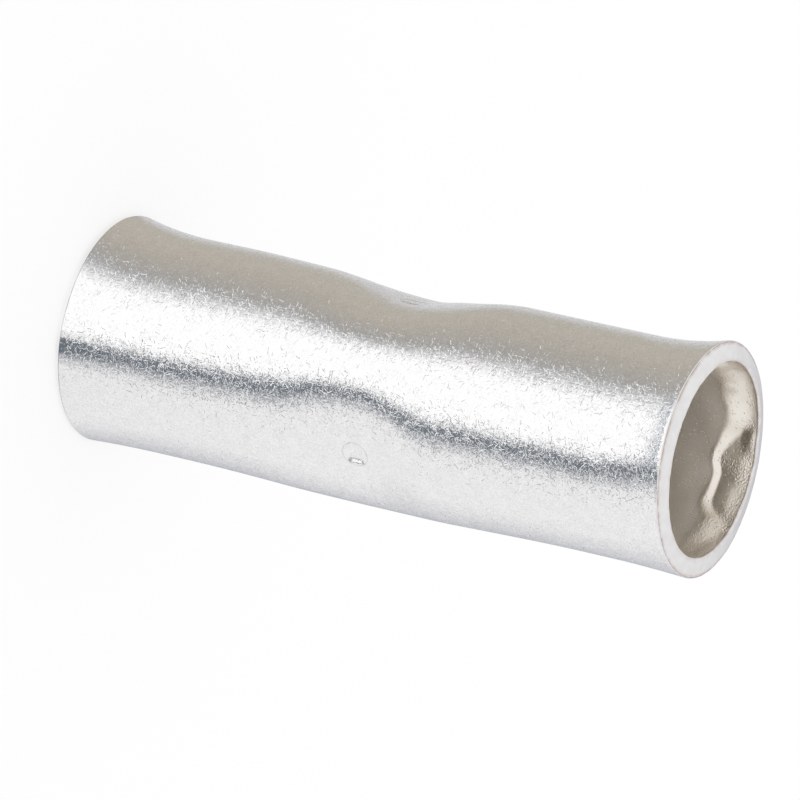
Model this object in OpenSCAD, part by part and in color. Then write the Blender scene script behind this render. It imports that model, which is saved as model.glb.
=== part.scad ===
// Butt splice connector: a tinned copper tube that joins two bare conductors end to end.
// Both ends are belled to guide the strands in. Three dents pressed into the middle
// of the tube narrow its bore, so that each conductor stops half way.
// The tube stands on one rim, with its axis along +Z and the origin in that rim's middle.

/* [Tube] */
// Overall length, rim to rim
length = 44.6; // [36:0.2:60]
// Diameter of the round bore that takes the conductor
bore_d = 11.8; // [8:0.1:16]
// Thickness of the tube's wall
wall = 1.4; // [0.8:0.1:2.4]

/* [Bell mouths] */
// How far each rim stands out from the barrel
mouth_rise = 0.75; // [0.2:0.05:1.2]
// Length of each bell mouth along the tube
mouth_len = 5.5; // [3:0.5:9]
// Bevel on the edges of the rims
edge_bevel = 0.15; // [0.05:0.05:0.3]

/* [Wire stop] */
// Number of dents around the tube
dents = 3; // [2:1:4]
// How far each dent is pressed in below the barrel
dent_depth = 1; // [0.3:0.1:2]
// Length of each dent along the tube
dent_len = 15; // [8:1:20]
// How far the wall swells out between the dents
swell_rise = 0.45; // [0.1:0.05:1]
// Length of the swell along the tube
swell_len = 20; // [12:1:24]
// Diameter of the punch's mark in the floor of each dent
mark_d = 1.8; // [1:0.1:3]
// Depth of the punch's mark
mark_depth = 0.12; // [0.05:0.01:0.3]

/* [Hidden] */
$fn = 180;

tin = "#d2d3d5";

bore_r = bore_d / 2;
body_r = bore_r + wall;
mouth_r = body_r + mouth_rise;

// The mouth's wall follows an arc that leaves the barrel without a kink.
bend_r = (pow(mouth_len, 2) + pow(mouth_rise, 2)) / (2 * mouth_rise);
bend_centre = [body_r + bend_r, mouth_len];
mouth_bore_r = bend_centre.x - sqrt(pow(bend_r + wall, 2) - pow(mouth_len, 2));

// The pressed middle and the round ends reach into each other, one just inside the other's wall.
pressed_half = max(dent_len, swell_len) / 2;
lap = 0.25;
inset = 0.02;
round_len = length / 2 - pressed_half + lap;

// The pressed middle is a loft through rings of points, which straddle the middle line of every dent.
steps_around = dents * 16;
steps_along = 22;
ring_heights = concat(
    [-pressed_half - lap],
    [for (i = [0 : steps_along]) pressed_half * (2 * i / steps_along - 1)],
    [pressed_half + lap]
);
loft_outer_r = body_r - inset;
loft_bore_r = (bore_r + inset) / cos(180 / steps_around);

// A press's footprint along the tube: 1 in the middle and 0 from half its length on
function footprint(z, reach) = abs(z) < reach / 2 ? pow(cos(180 * z / reach), 2) : 0;

// Around the tube: 1 on the middle line of a dent and 0 half way to the next
function dent_share(angle) = (1 + cos(dents * angle)) / 2;

// How far the wall stands out from the round tube at an angle and a height over the middle
function pressed(angle, z) =
    swell_rise * footprint(z, swell_len) * (1 - dent_share(angle))
    - dent_depth * footprint(z, dent_len) * dent_share(angle);

// All points of one skin of the loft, ring by ring from the lowest
function skin(round_r) = [
    for (z = ring_heights, i = [0 : steps_around - 1])
        let (angle = 360 * (i + 0.5) / steps_around, r = round_r + pressed(angle, z))
            [r * cos(angle), r * sin(angle), z]
];

// The two triangles between points a, b and points d, c beyond them
function two_triangles(a, b, c, d) = [[a, b, c], [a, c, d]];

module pressed_middle() {
    rings = len(ring_heights);
    bore_start = rings * steps_around;
    function outer(ring, i) = ring * steps_around + i % steps_around;
    function bore(ring, i) = bore_start + outer(ring, i);

    sides = [
        for (k = [0 : rings - 2], i = [0 : steps_around - 1]) each concat(
            two_triangles(outer(k, i), outer(k + 1, i), outer(k + 1, i + 1), outer(k, i + 1)),
            two_triangles(bore(k, i), bore(k, i + 1), bore(k + 1, i + 1), bore(k + 1, i))
        )
    ];
    ends = [
        for (i = [0 : steps_around - 1]) each concat(
            two_triangles(outer(0, i), outer(0, i + 1), bore(0, i + 1), bore(0, i)),
            two_triangles(outer(rings - 1, i), bore(rings - 1, i),
                          bore(rings - 1, i + 1), outer(rings - 1, i + 1))
        )
    ];
    polyhedron(points = concat(skin(loft_outer_r), skin(loft_bore_r)), faces = concat(sides, ends));
}

module edge_cut(radius) {
    translate([radius, 0])
        rotate(45)
            square(edge_bevel * sqrt(2), center = true);
}

// Section of one end: the mouth's wall bent along an arc, and the straight wall above it
module end_section() {
    difference() {
        intersection() {
            translate(bend_centre)
                difference() {
                    circle(bend_r + wall);
                    circle(bend_r);
                }
            square([mouth_r, mouth_len]);
        }
        edge_cut(mouth_r);
        edge_cut(mouth_bore_r);
    }
    translate([bore_r, mouth_len])
        square([wall, round_len - mouth_len]);
}

module belled_end() {
    rotate_extrude()
        end_section();
}

// Cut for the punch's mark, along +X
module punch_mark() {
    translate([loft_outer_r - dent_depth - mark_depth, 0, 0])
        rotate([0, 90, 0])
            cylinder(d = mark_d, h = mark_depth + dent_depth);
}

module sleeve() {
    color(tin)
        difference() {
            union() {
                belled_end();
                translate([0, 0, length])
                    mirror([0, 0, 1])
                        belled_end();
                translate([0, 0, length / 2])
                    pressed_middle();
            }
            for (i = [0 : dents - 1])
                translate([0, 0, length / 2])
                    rotate(360 * i / dents)
                        punch_mark();
        }
}

sleeve();
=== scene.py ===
"""Looks of a butt splice connector: a tinned copper tube with belled mouths and a dented middle."""

import math
from collections import namedtuple

import bpy
from mathutils import Matrix, Vector, noise


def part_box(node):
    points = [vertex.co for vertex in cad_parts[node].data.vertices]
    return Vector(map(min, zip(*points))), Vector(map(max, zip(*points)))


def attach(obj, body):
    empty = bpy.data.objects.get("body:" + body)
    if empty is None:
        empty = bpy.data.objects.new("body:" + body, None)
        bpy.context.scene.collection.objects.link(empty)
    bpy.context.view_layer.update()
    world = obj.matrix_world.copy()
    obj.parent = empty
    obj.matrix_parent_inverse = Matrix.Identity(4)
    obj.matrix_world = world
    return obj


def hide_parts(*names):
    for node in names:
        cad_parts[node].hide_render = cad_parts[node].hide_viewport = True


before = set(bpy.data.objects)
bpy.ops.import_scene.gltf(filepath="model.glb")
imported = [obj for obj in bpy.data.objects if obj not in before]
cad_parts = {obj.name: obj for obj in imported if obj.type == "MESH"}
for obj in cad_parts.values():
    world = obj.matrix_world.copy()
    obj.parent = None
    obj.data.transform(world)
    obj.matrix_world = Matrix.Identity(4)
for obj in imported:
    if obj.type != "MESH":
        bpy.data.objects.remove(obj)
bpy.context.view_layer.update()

MM = 0.001
TURN = 2 * math.pi

# The tube in millimetres, with the values of the part's source
low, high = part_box("sleeve")
LENGTH = (high.z - low.z) / MM
BORE_R = 5.9
WALL = 1.4
BODY_R = BORE_R + WALL
MOUTH_LEN = 5.5
DENTS = 3
DENT_DEPTH = 1.0
DENT_LEN = 15.0
MARK_R = 0.9

# The photograph's camera: the angle around the tube is counted from +X, the roll from upright
CAMERA_ANGLE = math.radians(-44.8)
CAMERA_HEIGHT = math.radians(25.97)
CAMERA_ROLL = math.radians(102.6)
CAMERA_DISTANCE = 419.4
CAMERA_LENS = 288.9
SENSOR_WIDTH = 36
# Where the tube's middle sits in the picture, in millimetres from the picture's centre
MIDDLE_RIGHT = 0.5
MIDDLE_UP = 0.25

# Unevenness of the real tube, within the part's box. Its bells stand out most on the side that is
# uppermost in the picture, and the cut faces lean with the bells.
BELL_SIDE = CAMERA_ANGLE - math.radians(90)
BELL_LEAST = 0.24
BELL_RISE_TOP = 0.72
BELL_RISE_BOTTOM = 0.62
LEAN_REACH = 9.0
# The swells between the dents are lower and longer than the part's source has them
SWELL_RISE = 0.35
SWELL_LEN = 30.0
# The front dent is shallower than the others and ends sooner towards the top
FRONT_DEPTH = 0.7
FRONT_REACH = 10.0
# The swell on one side of it is pressed flat towards the top, from one of these heights over the
# middle to the other
LOW_SWELL_SIDE = -math.pi / DENTS
LOW_SWELL_RISE = -0.08
LOW_SWELL_FADE = (-2.0, 6.0)
# One dent is flattened further along its lower half, which starts and ends softly between these
# heights over the middle
FLAT_SIDE = CAMERA_ANGLE - math.radians(98)
FLAT_HALF_ANGLE = math.radians(42)
FLAT_DEPTH = 0.27
FLAT_START = (-14.0, -4.0)
FLAT_END = (-0.5, 2.5)
# The punch's marks: a shallow floor in a fine ring, with a nick along its lower side in the picture
MARK_OFF_MIDDLE = -0.4
MARK_OFF_SIDE = -0.3
MARK_DEPTH = 0.012
MARK_WALL = 0.2
NICK_FLOOR = 0.45
NICK_WIDTH = 0.27
NICK_DEPTH = 0.36
NICK_HALF = 0.48
NICK_END = 0.15
NICK_STEEPNESS = 2
RING_DEPTH = 0.03
RING_HALF = 0.07
# Inside, the mouths open partly in a step whose border wanders around the bore. The pairs are its
# values where it is nearest to the rim and where it is deepest.
BORE_FLARE = 1.15
STEP_SHARES = (0.85, 0.4)
STEP_DEPTHS = (1.15, 2.4)
STEP_RAMPS = (2.2, 0.5)
STEP_SIDE = CAMERA_ANGLE - math.radians(185)
STEP_PHASES = (0.3, 0.95)
STEP_WANDER = 0.3
# The upper mouth has a burr
BURR_SIDE = CAMERA_ANGLE - math.radians(162)
BURR_HALF_ANGLE = math.radians(11)
BURR_RISE = 0.17
BURR_DEPTH = 0.5
BURR_HALF = 0.8
# The bore's waves fade in and out between these distances from the rim
BORE_WAVE_START = (0.2, 1.2)
BORE_WAVE_END = (5.0, 9.0)
# The rims' edges are rounded, more in some places than in others, and their faces aren't quite flat
OUTER_EDGE = 0.12
INNER_EDGE = 0.2
EDGE_RAGGED = 0.65
RIM_UNEVEN = 0.02
BARREL_WAVE = 0.006
BORE_WAVE = 0.09
# The size of each kind of wave, and a shift along the tube that keeps the kinds apart
BARREL_WAVES = (5.0, 0.0)
STEP_WAVES = (1.6, 20.0)
EDGE_WAVES = (0.7, 40.0)
RIM_WAVES = (2.0, 70.0)
BORE_WAVES = (2.1, 90.0)

# The mesh's columns: fine ones over each punch mark, and plain ones from there to the next
FINE_HALF_ANGLE = math.radians(10)
FINE_COLUMNS = 36
PLAIN_COLUMNS = 66
# Its rows outside: over each bell, the barrel, the pressed part and the punch marks. The last two
# reach so far from the middle.
PRESSED_HALF = 12.0
MARKED_HALF = 1.5
BELL_ROWS = 18
BARREL_ROWS = 8
PRESSED_ROWS = 20
MARKED_ROWS = 56
# Its rows inside: over each mouth's step, over the rest of the mouth, and between the mouths. The
# first two reach so far from the rims.
STEPPED_REACH = 4.2
MOUTH_REACH = 9.0
STEPPED_ROWS = 40
MOUTH_ROWS = 14
DEEP_ROWS = 24
# Its rows on each part of a rim: the outer edge, the face and the inner edge
RIM_ROWS = 5

# The bare line along each rim's outer edge: where it starts over the edge's round, where it ends on
# the face, and how worn it is, which past a point also lays painted shade on the edge, most on the lower
# rim.
BARE_FROM = {"top_rim": 0.75, "bottom_rim": 0.2}
BARE_TO = 1.1
EDGE_WEAR_AND_SHADE = {"top_rim": 0.94, "bottom_rim": 1.0}
INNER_EDGE_WORN = 0.3
# The painted shade around the nicks' ends and in the rings, and how softly the burnished mouths end
NICK_SHADE_REACH = 0.12
RING_SHADE = 0.25
BURNISH_FADE = 0.4


def smooth_step(value, start, end):
    share = min(1.0, max(0.0, (value - start) / (end - start)))
    return share * share * (3 - 2 * share)


def wave(angle, z, size, shift):
    """Smooth unevenness from -1 to 1 over lengths of about the given size."""
    on_barrel = Vector((math.cos(angle), math.sin(angle), 0)) * BODY_R
    return noise.noise((on_barrel + Vector((0, 0, z + shift))) / size)


def footprint(z, reach):
    """A press's share along the tube: 1 at its middle, 0 from half its reach on."""
    return math.cos(math.pi * z / reach) ** 2 if abs(z) < reach / 2 else 0.0


def flattened(angle, over_middle):
    """How far the uneven dent's lower half is pressed in further."""
    off_side = math.remainder(angle - FLAT_SIDE, TURN)
    if abs(off_side) > FLAT_HALF_ANGLE:
        return 0.0
    side_share = math.cos(math.pi / 2 * off_side / FLAT_HALF_ANGLE) ** 2
    length_share = smooth_step(over_middle, *FLAT_START) * (1 - smooth_step(over_middle, *FLAT_END))
    return FLAT_DEPTH * side_share * length_share


def pressed(angle, z):
    """How far the dents push the wall in and the swells between them let it out."""
    dent_share = (1 + math.cos(DENTS * angle)) / 2
    over_middle = z - LENGTH / 2
    front = abs(math.remainder(angle, TURN)) < math.pi / DENTS
    depth = FRONT_DEPTH if front else DENT_DEPTH
    reach = FRONT_REACH if front and over_middle > 0 else DENT_LEN
    rise = SWELL_RISE
    if abs(math.remainder(angle - LOW_SWELL_SIDE, TURN)) < math.pi / DENTS:
        rise += (LOW_SWELL_RISE - SWELL_RISE) * smooth_step(over_middle, *LOW_SWELL_FADE)
    swell = rise * footprint(over_middle, SWELL_LEN) * (1 - dent_share)
    return swell - depth * footprint(over_middle, reach) * dent_share - flattened(angle, over_middle)


def bell_rise(angle, top):
    """How far a mouth stands out at its rim: most on the bell's side."""
    side = (1 + math.cos(angle - BELL_SIDE)) / 2
    most = BELL_RISE_TOP if top else BELL_RISE_BOTTOM
    return most * (BELL_LEAST + (1 - BELL_LEAST) * side * (2 - side))


def belled(angle, z):
    """How far a mouth stands out at a row."""
    return bell_rise(angle, z > LENGTH / 2) * max(0.0, 1 - min(z, LENGTH - z) / MOUTH_LEN) ** 2


def step_border(angle, from_rim):
    """The step inside a mouth: its middle, its length and its share of the opening."""
    phase = smooth_step((1 + math.cos(DENTS * (angle - STEP_SIDE))) / 2, *STEP_PHASES)
    ends = (STEP_DEPTHS, STEP_RAMPS, STEP_SHARES)
    middle, ramp, share = (near + (deep - near) * phase for near, deep in ends)
    return middle + STEP_WANDER * wave(angle, from_rim, *STEP_WAVES), ramp, share


def opened(angle, z):
    """How far the bore opens at a row: partly with the bell, partly in a step."""
    top = z > LENGTH / 2
    from_rim = LENGTH - z if top else z
    middle, ramp, share = step_border(angle, from_rim)
    step = 1 - smooth_step(from_rim, middle - ramp / 2, middle + ramp / 2)
    shape = BORE_FLARE * ((1 - share) * belled(angle, z) + share * bell_rise(angle, top) * step)
    off_burr = math.remainder(angle - BURR_SIDE, TURN) / BURR_HALF_ANGLE
    if top and abs(off_burr) < 1:
        shape -= BURR_RISE * footprint(off_burr, 2) * footprint(from_rim - BURR_DEPTH, 2 * BURR_HALF)
    return shape


def leaning(angle, z, share):
    """The height of a row's point, where the outer wall's rows are drawn back with the leaning cut face."""
    top = z > LENGTH / 2
    near_rim = max(0.0, 1 - min(z, LENGTH - z) / LEAN_REACH)
    drawn_back = share * WALL * 2 * bell_rise(angle, top) / MOUTH_LEN * near_rim
    return z - drawn_back if top else z + drawn_back


def from_mark(angle, z):
    """Millimetres from the middle of the nearest punch mark: around the tube and along it."""
    across = math.remainder(angle, TURN / DENTS) * (BODY_R - DENT_DEPTH)
    return across - MARK_OFF_SIDE, z - LENGTH / 2 - MARK_OFF_MIDDLE


def ring_share(angle, z):
    """Depth of the ring around a mark, from 0 to 1."""
    return max(0.0, 1 - abs(math.hypot(*from_mark(angle, z)) - MARK_R) / RING_HALF)


def nick_share(angle, z):
    """Depth of the nick beside a mark, from 0 to 1: steeper on the side of the mark's middle."""
    across, along = from_mark(angle, z)
    off_floor = (across - NICK_FLOOR) / NICK_WIDTH
    side = 1 - off_floor if off_floor > 0 else 1 + off_floor * NICK_STEEPNESS
    return max(0.0, side) * (1 - smooth_step(abs(along), NICK_HALF - NICK_END, NICK_HALF))


def marked(angle, z):
    """Depth of a punch mark."""
    inside = 1 - smooth_step(math.hypot(*from_mark(angle, z)), MARK_R - MARK_WALL, MARK_R)
    return inside * MARK_DEPTH + NICK_DEPTH * nick_share(angle, z) + RING_DEPTH * ring_share(angle, z)


def outer_r(angle, z):
    shape = BODY_R + belled(angle, z) + pressed(angle, z)
    return shape - marked(angle, z) + BARREL_WAVE * wave(angle, z, *BARREL_WAVES)


def bore_r(angle, z):
    from_rim = min(z, LENGTH - z)
    mouth = smooth_step(from_rim, *BORE_WAVE_START) * (1 - smooth_step(from_rim, *BORE_WAVE_END))
    shape = BORE_R + opened(angle, z) + pressed(angle, z)
    return shape + BORE_WAVE * mouth * wave(angle, z, *BORE_WAVES)


def rim_point(angle, across, top):
    """Radius, height and lean on a rim.

    Across is 0 to 1 over the outer edge, 1 to 2 on the face and 2 to 3 over the inner edge."""
    end, inward = (LENGTH, -1) if top else (0.0, 1)
    outer, inner = outer_r(angle, end + inward * OUTER_EDGE), bore_r(angle, end + inward * INNER_EDGE)
    kept = 1 - EDGE_RAGGED * (1 + wave(angle, end, *EDGE_WAVES)) / 2
    outer_edge, inner_edge = kept * OUTER_EDGE, kept * INNER_EDGE
    if across <= 1:
        turn = across * math.pi / 2
        r, depth = outer - outer_edge * (1 - math.cos(turn)), outer_edge * (1 - math.sin(turn))
    elif across <= 2:
        r, depth = outer - outer_edge + (inner + inner_edge - outer + outer_edge) * (across - 1), 0.0
    else:
        turn = (across - 2) * math.pi / 2
        r, depth = inner + inner_edge * (1 - math.sin(turn)), inner_edge * (1 - math.cos(turn))
    depth += RIM_UNEVEN * (1 + wave(angle, end + r, *RIM_WAVES)) / 2
    return r, end + inward * depth, min(1.0, max(0.0, 2 - across))


def spaced(start, end, count):
    """Evenly spaced values from the start up to the end, which is left out."""
    return [start + (end - start) * i / count for i in range(count)]


def sleeve_columns():
    """Angles around the tube, close together over the punch marks."""
    angles = []
    for dent in range(DENTS):
        middle = TURN * dent / DENTS + MARK_OFF_SIDE / (BODY_R - DENT_DEPTH)
        fine_end = middle + FINE_HALF_ANGLE
        angles += spaced(middle - FINE_HALF_ANGLE, fine_end, FINE_COLUMNS)
        angles += spaced(fine_end, middle + TURN / DENTS - FINE_HALF_ANGLE, PLAIN_COLUMNS)
    return angles


def sleeve_rows():
    """The section's rows as (zone, place): up the outside, over the rim, down the bore, under the rim."""
    pressed_start = LENGTH / 2 - PRESSED_HALF
    mark_start = LENGTH / 2 - MARKED_HALF
    half = spaced(OUTER_EDGE, MOUTH_LEN, BELL_ROWS) + spaced(MOUTH_LEN, pressed_start, BARREL_ROWS)
    half += spaced(pressed_start, mark_start, PRESSED_ROWS)
    outside = half + spaced(mark_start, LENGTH - mark_start, MARKED_ROWS)
    outside += [LENGTH - z for z in reversed(half)]
    mouth = spaced(INNER_EDGE, STEPPED_REACH, STEPPED_ROWS)
    mouth += spaced(STEPPED_REACH, MOUTH_REACH, MOUTH_ROWS)
    inside = [LENGTH - z for z in mouth] + spaced(LENGTH - MOUTH_REACH, MOUTH_REACH, DEEP_ROWS)
    inside += [MOUTH_REACH] + mouth[::-1]
    over = [i / RIM_ROWS for i in range(3 * RIM_ROWS + 1)]
    rows = [("outer", z) for z in outside]
    rows += [("top_rim", across) for across in over]
    rows += [("bore", z) for z in inside]
    rows += [("bottom_rim", across) for across in reversed(over)]
    return rows


def row_point(zone, place, angle):
    if zone == "outer":
        r, z, lean = outer_r(angle, place), place, 1.0
    elif zone == "bore":
        r, z, lean = bore_r(angle, place), place, 0.0
    else:
        r, z, lean = rim_point(angle, place, zone == "top_rim")
    return Vector((r * math.cos(angle), r * math.sin(angle), leaning(angle, z, lean))) * MM


def wear_and_shade_share(zone, place, angle):
    """How bare a rim's broken edges are and how much painted shade the most worn of them get, how much
    painted shade the punch marks' nicks and rings get, and how burnished the bore.
    """
    if zone == "outer":
        across, along = from_mark(angle, place)
        beside = max(0.0, 1 - abs(across - NICK_FLOOR - NICK_WIDTH / 2) / NICK_WIDTH)
        nick_end = beside * max(0.0, 1 - abs(abs(along) - NICK_HALF) / NICK_SHADE_REACH)
        return max(nick_end, RING_SHADE * ring_share(angle, place))
    if zone == "bore":
        from_rim = min(place, LENGTH - place)
        middle, ramp, _ = step_border(angle, from_rim)
        return 1 - smooth_step(from_rim, middle + ramp / 4, middle + ramp / 2 + BURNISH_FADE)
    if place >= 2:
        return INNER_EDGE_WORN
    return EDGE_WEAR_AND_SHADE[zone] if BARE_FROM[zone] <= place <= BARE_TO else 0.0


def add(tree, kind, settings=None, inputs=None):
    """A shader node with its settings, whose inputs are values or other nodes' outputs."""
    made = tree.nodes.new("ShaderNode" + kind)
    for name, value in (settings or {}).items():
        setattr(made, name, value)
    for key, value in (inputs or {}).items():
        if isinstance(value, bpy.types.NodeSocket):
            tree.links.new(value, made.inputs[key])
        else:
            made.inputs[key].default_value = value
    return made


def math_node(tree, operation, first, second=0.0):
    return add(tree, "Math", {"operation": operation}, {0: first, 1: second}).outputs[0]


def vector_node(tree, operation, inputs):
    return add(tree, "VectorMath", {"operation": operation}, inputs).outputs[0]


def scaled_by(tree, vector, factor):
    return vector_node(tree, "SCALE", {0: vector, "Scale": factor})


def summed(tree, vectors):
    total = vectors[0]
    for vector in vectors[1:]:
        total = vector_node(tree, "ADD", {0: total, 1: vector})
    return total


def ranged(tree, value, start, end, low_value, high_value):
    inputs = {"Value": value, "From Min": start, "From Max": end, "To Min": low_value, "To Max": high_value}
    return add(tree, "MapRange", None, inputs).outputs["Result"]


NOISE_ROUGHNESS = 0.55
GRAIN_DETAIL = 3.0


def noise_node(tree, place, size, detail):
    inputs = {"Vector": place, "Scale": 1 / size, "Detail": detail, "Roughness": NOISE_ROUGHNESS}
    return add(tree, "TexNoise", None, inputs).outputs["Fac"]


# Patches in a surface: their size in millimetres and detail, the noise at which they start and are
# full, and their least and most
Patches = namedtuple("Patches", "size detail start full least most")


def patched(tree, place, kind):
    level = noise_node(tree, place, kind.size, kind.detail)
    return ranged(tree, level, kind.start, kind.full, kind.least, kind.most)


def mixed(tree, share, first, second):
    """A colour between two, each a socket or a plain colour."""
    inputs = {0: share, 1: first, 2: second}
    for key in (1, 2):
        if isinstance(inputs[key], tuple):
            inputs[key] = (*inputs[key], 1)
    return add(tree, "MixRGB", None, inputs).outputs[0]


def bumped(tree, height, distance):
    bump = add(tree, "Bump", None, {"Strength": 1.0, "Distance": distance * MM, "Height": height})
    return bump.outputs["Normal"]


def cell_pattern(tree, vector):
    """A flat pattern of random cells, about one unit of the vector wide."""
    return add(tree, "TexVoronoi", {"voronoi_dimensions": "2D"}, {"Vector": vector, "Scale": 1.0}).outputs


def new_metal(name):
    material = bpy.data.materials.new(name)
    material.use_nodes = True
    tree = material.node_tree
    shader = tree.nodes["Principled BSDF"]
    shader.inputs["Metallic"].default_value = 1.0
    return material, tree, shader


def wear_and_shade_attribute(tree):
    return add(tree, "Attribute", {"attribute_name": "wear_and_shade"}).outputs["Fac"]


def solid_place(tree):
    """The place in space in millimetres."""
    return scaled_by(tree, add(tree, "TexCoord").outputs["Object"], 1 / MM)


def skin_place(tree):
    """The place on the tube's skin in millimetres: x around the tube, y along it."""
    parts = add(tree, "SeparateXYZ", None, {0: add(tree, "TexCoord").outputs["Object"]}).outputs
    angle = math_node(tree, "ARCTAN2", parts["Y"], parts["X"])
    arc = math_node(tree, "MULTIPLY", angle, BODY_R)
    along = math_node(tree, "DIVIDE", parts["Z"], MM)
    return add(tree, "CombineXYZ", None, {0: arc, 1: along}).outputs[0]


# A kind of scratch in several layers: the cell size that the layers grow from and its growth with
# each, a scratch's half length and half width, its rarity, its most tilt, and the seeds used before
Scratches = namedtuple("Scratches", "layers cell growth half_length half_width rarity tilt seeds_before")
FINE_SCRATCHES = Scratches(7, 0.18, 0.02, 0.13, 0.02, 1.0, 0.27, 0)
BOLD_SCRATCHES = Scratches(5, 0.4, 0.05, 0.25, 0.02, 1.5, 0.45, 7)
# The scratches tilt less along the tube than around it
TILT_ALONG = 0.65
# The share of a scratch's half width and half length at which it starts to fade
SCRATCH_CORE = 0.6
# How far each seed moves the pattern, in cells
SEED_SHIFT = (17.3, 9.1)


def scratch_layer(tree, place, kind, number):
    """One short straight scratch in each cell of a random pattern: its tilted normal, and its mask.

    The higher the rarity, the fewer of the scratches are steep."""
    cell = kind.cell + kind.growth * number
    seed = number + kind.seeds_before
    shift = (SEED_SHIFT[0] * seed, SEED_SHIFT[1] * seed, 0)
    scaled = vector_node(tree, "MULTIPLY_ADD", {0: place, 1: (1 / cell, 1 / cell, 0), 2: shift})
    cells = cell_pattern(tree, scaled)
    local = vector_node(tree, "SUBTRACT", {0: scaled, 1: cells["Position"]})
    chance = add(tree, "SeparateColor", None, {0: cells["Color"]}).outputs
    turned = add(
        tree, "VectorRotate", {"rotation_type": "Z_AXIS"},
        {"Vector": local, "Angle": math_node(tree, "MULTIPLY", chance["Red"], TURN)},
    ).outputs[0]
    parts = add(tree, "SeparateXYZ", None, {0: turned}).outputs
    off_line = math_node(tree, "ABSOLUTE", parts["Y"])
    off_centre = math_node(tree, "ABSOLUTE", parts["X"])
    half_width, half_length = kind.half_width / cell, kind.half_length / cell
    groove = ranged(tree, off_line, SCRATCH_CORE * half_width, half_width, 1.0, 0.0)
    span = ranged(tree, off_centre, SCRATCH_CORE * half_length, half_length, 1.0, 0.0)
    ends = {0: cells["Color"], 1: (2, 2, 2 * TILT_ALONG), 2: (-1, -1, -TILT_ALONG)}
    tilt = vector_node(tree, "MULTIPLY_ADD", ends)
    mask = math_node(tree, "MULTIPLY", groove, span)
    steep = math_node(tree, "POWER", chance["Blue"], kind.rarity)
    return scaled_by(tree, tilt, math_node(tree, "MULTIPLY", mask, steep)), mask


def scratched(tree, place, kind):
    """All layers of a kind of scratch: the sum of their tilts, and each one's mask."""
    layers = [scratch_layer(tree, place, kind, number) for number in range(1, kind.layers + 1)]
    tilt = summed(tree, [layer_tilt for layer_tilt, _ in layers])
    return scaled_by(tree, tilt, kind.tilt), [mask for _, mask in layers]


STAIN = (0.60, 0.51, 0.44)
# Painted shade: the dark laid on the nicks' ends, in the marks' rings and on the most worn rim edges
PAINTED_SHADE = (0.10, 0.08, 0.065)

TIN = (0.83, 0.828, 0.831)
TIN_DULL = (0.73, 0.723, 0.72)
# The painted shade and painted glints of the scratches, laid on as colours
TIN_SCRATCH_SHADE = (0.66, 0.65, 0.64)
TIN_SCRATCH_GLINT = (0.97, 0.965, 0.96)
TIN_ROUGHNESS = 0.11
TIN_GRAIN_SIZE = 0.13
TIN_GRAIN_HEIGHT = 0.009
TIN_CLOUDS = Patches(size=0.9, detail=5.0, start=0.35, full=0.7, least=0.0, most=0.6)
TIN_SPOTS = Patches(size=0.45, detail=2.0, start=0.7, full=0.78, least=0.0, most=0.35)
# How much of the scratches' painted shade and painted glints is laid on
SCRATCH_SHADE_SHARE = 0.4
SCRATCH_GLINT_SHARE = 0.6


def tumbled_tin():
    """Tin plate as it leaves the tumbler: bright, and covered all over in short fine scratches."""
    material, tree, shader = new_metal("tumbled_tin")
    shader.inputs["Roughness"].default_value = TIN_ROUGHNESS
    place = skin_place(tree)
    fine_tilt, fine = scratched(tree, place, FINE_SCRATCHES)
    bold_tilt, bold = scratched(tree, place, BOLD_SCRATCHES)
    grain = bumped(tree, noise_node(tree, place, TIN_GRAIN_SIZE, GRAIN_DETAIL), TIN_GRAIN_HEIGHT)
    normal = vector_node(tree, "NORMALIZE", {0: summed(tree, [grain, fine_tilt, bold_tilt])})
    tree.links.new(normal, shader.inputs["Normal"])
    colour = mixed(tree, patched(tree, place, TIN_CLOUDS), TIN, TIN_DULL)
    # Some layers of the scratches are painted darker than the plate and some brighter: painted shade and
    # painted glints, on top of the light that their tilts really catch
    shaded_scratches = math_node(tree, "ADD", bold[0], fine[1])
    colour = mixed(tree, math_node(tree, "MULTIPLY", shaded_scratches, SCRATCH_SHADE_SHARE), colour, TIN_SCRATCH_SHADE)
    glinting_scratches = math_node(tree, "ADD", bold[3], math_node(tree, "ADD", fine[2], fine[5]))
    colour = mixed(tree, math_node(tree, "MULTIPLY", glinting_scratches, SCRATCH_GLINT_SHARE), colour, TIN_SCRATCH_GLINT)
    colour = mixed(tree, patched(tree, place, TIN_SPOTS), colour, STAIN)
    # Painted shade at the ends of the punch marks' nicks and in their rings
    colour = mixed(tree, wear_and_shade_attribute(tree), colour, PAINTED_SHADE)
    tree.links.new(colour, shader.inputs["Base Color"])
    return material


RIM_PALE = (0.80, 0.79, 0.795)
RIM_DULL = (0.73, 0.715, 0.715)
COPPER = (0.52, 0.41, 0.36)
RIM_ROUGHNESS = 0.3
RIM_GRAIN_SIZE = 0.12
RIM_GRAIN_HEIGHT = 0.012
RIM_CLOUDS = Patches(size=0.8, detail=4.0, start=0.3, full=0.7, least=0.0, most=1.0)
RIM_BARE = Patches(size=0.5, detail=4.0, start=0.38, full=0.58, least=0.2, most=1.0)
# An edge gets painted shade from this wear on, and at full wear this share of it
SHADED_FROM = 0.85
SHADED_MOST = 0.7


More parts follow.
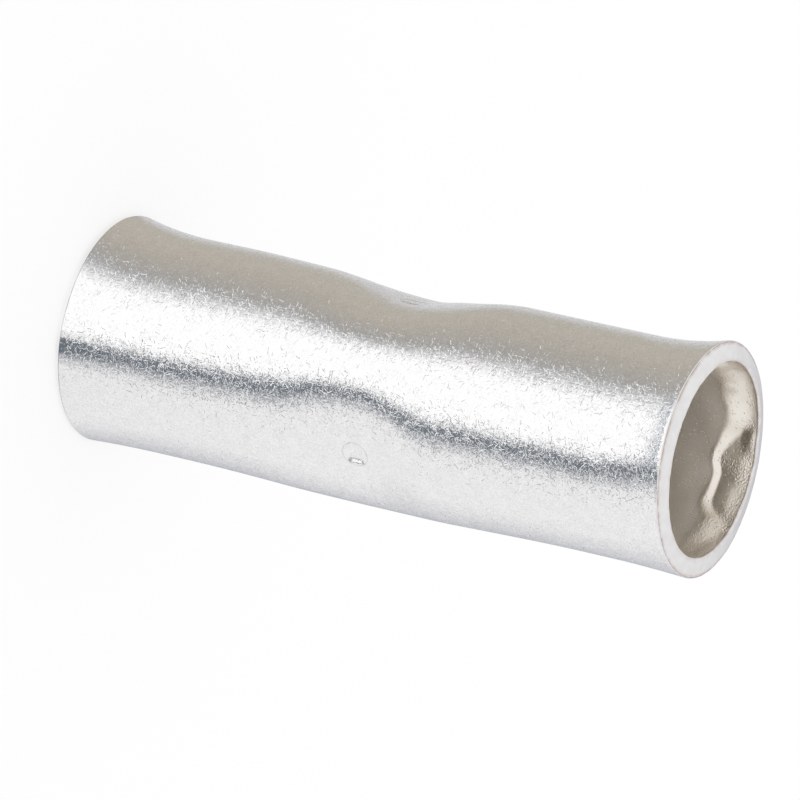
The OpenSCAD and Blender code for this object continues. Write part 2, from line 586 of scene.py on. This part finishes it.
def cut_rim():
    """The cut ends: pale plated metal with copper showing along the broken edges, and painted shade on the
    most worn of them.
    """
    material, tree, shader = new_metal("cut_rim")
    shader.inputs["Roughness"].default_value = RIM_ROUGHNESS
    place = solid_place(tree)
    colour = mixed(tree, patched(tree, place, RIM_CLOUDS), RIM_PALE, RIM_DULL)
    edge = wear_and_shade_attribute(tree)
    bare = math_node(tree, "MULTIPLY", edge, patched(tree, place, RIM_BARE))
    colour = mixed(tree, bare, colour, COPPER)
    # Painted shade: the most worn edges are darkened, the lower rim's outer edge most, for the dark that
    # such an edge mirrors
    colour = mixed(tree, ranged(tree, edge, SHADED_FROM, 1.0, 0.0, SHADED_MOST), colour, PAINTED_SHADE)
    tree.links.new(colour, shader.inputs["Base Color"])
    grain = noise_node(tree, place, RIM_GRAIN_SIZE, GRAIN_DETAIL)
    tree.links.new(bumped(tree, grain, RIM_GRAIN_HEIGHT), shader.inputs["Normal"])
    return material


BORE_PALE = (0.84, 0.80, 0.745)
BORE_DULL = (0.81, 0.765, 0.70)
BORE_ROUGHNESS = 0.62
MOUTH_ROUGHNESS = 0.3
BORE_CLOUDS = Patches(size=2.0, detail=3.0, start=0.3, full=0.7, least=0.0, most=1.0)
BORE_BUMP = 0.02
BORE_UNEVEN = 0.4
BORE_UNEVEN_SIZE = 0.3
BORE_UNEVEN_DETAIL = 2.0
# Pits: cells to a millimetre, the chance from which a cell has one, and its floor and edge in cells
PIT_CELLS = 3.0
PIT_CHANCE = (0.55, 0.75)
PIT_RADII = (0.08, 0.2)
# Grainy patches in the burnished mouths
GRAINY = Patches(size=2.8, detail=1.0, start=0.47, full=0.56, least=0.0, most=1.8)
MOUTH_GRAIN_SIZE = 0.13
MOUTH_GRAIN_DETAIL = 1.0


def bore_tin():
    """The drawn inside of the tube: dull further in, burnished and grainy at the mouths, with tiny pits."""
    material, tree, shader = new_metal("bore_tin")
    place = skin_place(tree)
    burnished = wear_and_shade_attribute(tree)
    roughness = ranged(tree, burnished, 0.0, 1.0, BORE_ROUGHNESS, MOUTH_ROUGHNESS)
    tree.links.new(roughness, shader.inputs["Roughness"])
    colour = mixed(tree, patched(tree, place, BORE_CLOUDS), BORE_PALE, BORE_DULL)
    tree.links.new(colour, shader.inputs["Base Color"])
    cells = cell_pattern(tree, scaled_by(tree, place, PIT_CELLS))
    chance = add(tree, "SeparateColor", None, {0: cells["Color"]}).outputs["Red"]
    some = ranged(tree, chance, *PIT_CHANCE, 0.0, 1.0)
    pits = math_node(tree, "MULTIPLY", ranged(tree, cells["Distance"], *PIT_RADII, -1.0, 0.0), some)
    uneven = noise_node(tree, place, BORE_UNEVEN_SIZE, BORE_UNEVEN_DETAIL)
    height = math_node(tree, "ADD", pits, math_node(tree, "MULTIPLY", uneven, BORE_UNEVEN))
    spot = solid_place(tree)
    grainy = math_node(tree, "MULTIPLY", patched(tree, spot, GRAINY), burnished)
    grain = noise_node(tree, spot, MOUTH_GRAIN_SIZE, MOUTH_GRAIN_DETAIL)
    grain = math_node(tree, "MULTIPLY", grain, grainy)
    height = math_node(tree, "ADD", height, grain)
    tree.links.new(bumped(tree, height, BORE_BUMP), shader.inputs["Normal"])
    return material


def make_sleeve():
    """The tube as one closed mesh."""
    columns, rows = sleeve_columns(), sleeve_rows()
    points = [row_point(zone, place, angle) for zone, place in rows for angle in columns]
    faces, zones = [], []
    for i in range(len(rows)):
        here, there = i * len(columns), (i + 1) % len(rows) * len(columns)
        for j in range(len(columns)):
            right = (j + 1) % len(columns)
            faces.append((here + j, here + right, there + right, there + j))
            zones.append(rows[i][0])
    mesh = bpy.data.meshes.new("sleeve_skin")
    mesh.from_pydata(points, [], faces)
    mesh.polygons.foreach_set("use_smooth", [True] * len(faces))
    for material in (tumbled_tin(), cut_rim(), bore_tin()):
        mesh.materials.append(material)
    slots = {"outer": 0, "top_rim": 1, "bore": 2, "bottom_rim": 1}
    mesh.polygons.foreach_set("material_index", [slots[zone] for zone in zones])
    # Wear at each point, and the painted shade at the punch marks and the most worn rim edges
    wear_and_shade = mesh.attributes.new("wear_and_shade", "FLOAT", "POINT")
    wear_and_shade.data.foreach_set("value", [wear_and_shade_share(*row, angle) for row in rows for angle in columns])
    mesh.update()
    sleeve = bpy.data.objects.new("sleeve_skin", mesh)
    bpy.context.scene.collection.objects.link(sleeve)
    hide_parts("sleeve")
    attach(sleeve, "root")


def make_camera():
    """The photograph's camera, rolled so that the standing tube lies across the picture."""
    level = math.cos(CAMERA_HEIGHT)
    away = Vector(
        (level * math.cos(CAMERA_ANGLE), level * math.sin(CAMERA_ANGLE), math.sin(CAMERA_HEIGHT))
    )
    upright_right = Vector((0, 0, 1)).cross(away).normalized()
    upright_up = away.cross(upright_right)
    right = math.cos(CAMERA_ROLL) * upright_right + math.sin(CAMERA_ROLL) * upright_up
    up = away.cross(right)
    aim = Vector((0, 0, LENGTH / 2)) - MIDDLE_RIGHT * right - MIDDLE_UP * up
    data = bpy.data.cameras.new("camera")
    data.lens = CAMERA_LENS
    data.sensor_width = SENSOR_WIDTH
    camera = bpy.data.objects.new("camera", data)
    pose = Matrix((right, up, away)).transposed().to_4x4()
    pose.translation = (aim + CAMERA_DISTANCE * away) * MM
    camera.matrix_world = pose
    bpy.context.scene.collection.objects.link(camera)
    bpy.context.scene.camera = camera


def make_world():
    """Plain even white light from all around."""
    world = bpy.data.worlds.new("studio")
    bpy.context.scene.world = world
    world.use_nodes = True
    background = world.node_tree.nodes["Background"]
    background.inputs["Color"].default_value = (1, 1, 1, 1)
    background.inputs["Strength"].default_value = 1.0


def new_stage_piece(name, corners, faces, material):
    mesh = bpy.data.meshes.new(name)
    mesh.from_pydata([Vector(corner) * MM for corner in corners], [], faces)
    mesh.materials.append(material)
    piece = bpy.data.objects.new(name, mesh)
    bpy.context.scene.collection.objects.link(piece)
    return piece


FLOOR_HALF = 3000
FLOOR_COLOUR = 0.3
FLOOR_GLOW = 0.7


def make_floor():
    """A plain floor under the tube, which keeps the shadow and is white to the camera and in the metal."""
    material = bpy.data.materials.new("floor_white")
    material.use_nodes = True
    tree = material.node_tree
    shader = tree.nodes["Principled BSDF"]
    shader.inputs["Base Color"].default_value = (FLOOR_COLOUR, FLOOR_COLOUR, FLOOR_COLOUR, 1)
    shader.inputs["Roughness"].default_value = 1.0
    shader.inputs["Specular IOR Level"].default_value = 0.0
    path = add(tree, "LightPath").outputs
    seen = math_node(tree, "MAXIMUM", path["Is Camera Ray"], path["Is Glossy Ray"])
    seen = math_node(tree, "MAXIMUM", seen, path["Is Transmission Ray"])
    shader.inputs["Emission Color"].default_value = (1, 1, 1, 1)
    tree.links.new(math_node(tree, "MULTIPLY", seen, FLOOR_GLOW), shader.inputs["Emission Strength"])
    corners = [(x * FLOOR_HALF, y * FLOOR_HALF, 0) for x, y in ((-1, -1), (1, -1), (1, 1), (-1, 1))]
    new_stage_piece("floor", corners, [(0, 1, 2, 3)], material)


# The studio's cards around the tube, which only its metal shows: the degrees around the tube, from the
# side that faces the camera, between which the barrel mirrors the card, and the card's light at both
SOFTBOX = (1.24, 1.24, 1.24)
DARK = (0.17, 0.195, 0.23)
CARDS = (
    ("back_card", -90.0, (0.82, 0.82, 0.85), -77.0, (0.66, 0.655, 0.66)),
    ("warm_edge", -77.0, (0.66, 0.655, 0.66), -73.0, (0.535, 0.505, 0.44)),
    ("warm_card", -73.0, (0.535, 0.505, 0.44), -58.0, (0.565, 0.52, 0.455)),
    ("warm_low", -58.0, (0.565, 0.52, 0.455), -40.0, (0.48, 0.45, 0.405)),
    ("warm_end", -40.0, (0.47, 0.445, 0.41), -33.0, (0.43, 0.425, 0.415)),
    ("softbox_edge", -33.0, (0.45, 0.455, 0.46), -21.0, SOFTBOX),
    ("softbox", -21.0, SOFTBOX, 5.5, SOFTBOX),
    ("dark_flag", 9.0, DARK, 16.0, DARK),
    ("flag_edge", 16.0, (0.43, 0.445, 0.47), 22.5, (0.96, 0.96, 0.97)),
    ("grey_card", 53.0, (0.99, 0.99, 1.0), 84.0, (0.505, 0.515, 0.555)),
    ("edge_card", 84.0, (0.505, 0.515, 0.555), 100.0, (0.85, 0.85, 0.87)),
)
# How far the cards lie over the floor, and the most degrees between their lines of corners
CARD_LIFT = 0.05
CARD_STEP = 4
# The corners along each line: how far out, how high, and the share of white there. The cards lie on
# the floor and rise at their far ends.
CARD_ROWS = (
    (0, 0, 0), (25, 0, 0), (50, 0, 0), (75, 0, 0), (100, 0, 0),
    (1000, 0, 0), (1000, 120, 0.3), (1000, 450, 1),
)
FAR_WHITE = Vector((1, 1, 1))
# Up to where they bear round, and by how much
BEND_REACH = 100
CARD_BEND = math.radians(5.6)
# A small flag beside the upper rim, which only the end of the bell mirrors
RIM_FLAG = (0.36, 0.40, 0.46)
RIM_FLAG_TURNS = (-34, 13)
RIM_FLAG_RADII = (10.5, 11.4)
RIM_FLAG_DEPTH = 3.85


def around(turned):
    """A level direction, turned from the side of the tube that faces the camera."""
    return Vector((math.cos(CAMERA_ANGLE + turned), math.sin(CAMERA_ANGLE + turned), 0))


def new_card(name, corners, lights, faces):
    """A glowing card with a light at each corner, which only the metal shows."""
    material = bpy.data.materials.new(name)
    material.use_nodes = True
    tree = material.node_tree
    tree.nodes.clear()
    light = add(tree, "Attribute", {"attribute_name": "light"}).outputs["Color"]
    glow = add(tree, "Emission", None, {"Color": light, "Strength": 1.0}).outputs[0]
    add(tree, "OutputMaterial", None, {"Surface": glow})
    card = new_stage_piece(name, corners, faces, material)
    attribute = card.data.color_attributes.new("light", "FLOAT_COLOR", "POINT")
    attribute.data.foreach_set("color", [value for light in lights for value in (*light, 1)])
    card.visible_camera = False
    card.visible_diffuse = False
    card.visible_shadow = False


def make_rim_flag():
    turns = [math.radians(turned) for turned in range(RIM_FLAG_TURNS[0], RIM_FLAG_TURNS[1] + 1)]
    height = Vector((0, 0, LENGTH - RIM_FLAG_DEPTH))
    corners = [height + r * around(turned) for turned in turns for r in RIM_FLAG_RADII]
    faces = [(2 * i, 2 * i + 1, 2 * i + 3, 2 * i + 2) for i in range(len(turns) - 1)]
    new_card("rim_flag", corners, [RIM_FLAG] * len(corners), faces)


def make_card(name, start, start_light, end, end_light):
    """A card that lies on the floor, from the tube's foot outwards along mirrored sight lines."""
    steps = math.ceil((end - start) / CARD_STEP)
    corners, lights, faces = [], [], []
    for i in range(steps + 1):
        turned = math.radians(start + (end - start) * i / steps)
        foot = BODY_R * around(turned) + Vector((0, 0, CARD_LIFT))
        light = Vector(start_light).lerp(Vector(end_light), i / steps)
        for out, height, white in CARD_ROWS:
            bend = CARD_BEND * min(out, BEND_REACH) / BEND_REACH
            corners.append(foot + out * around(2 * turned + bend) + Vector((0, 0, height)))
            lights.append(light.lerp(FAR_WHITE, white))
    for i in range(steps):
        for row in range(len(CARD_ROWS) - 1):
            first = len(CARD_ROWS) * i + row
            second = first + len(CARD_ROWS)
            faces.append((first, first + 1, second + 1, second))
    new_card(name, corners, lights, faces)


make_camera()
make_sleeve()
make_world()
make_floor()
for card in CARDS:
    make_card(*card)
make_rim_flag()
bpy.context.scene.view_settings.view_transform = "Standard"
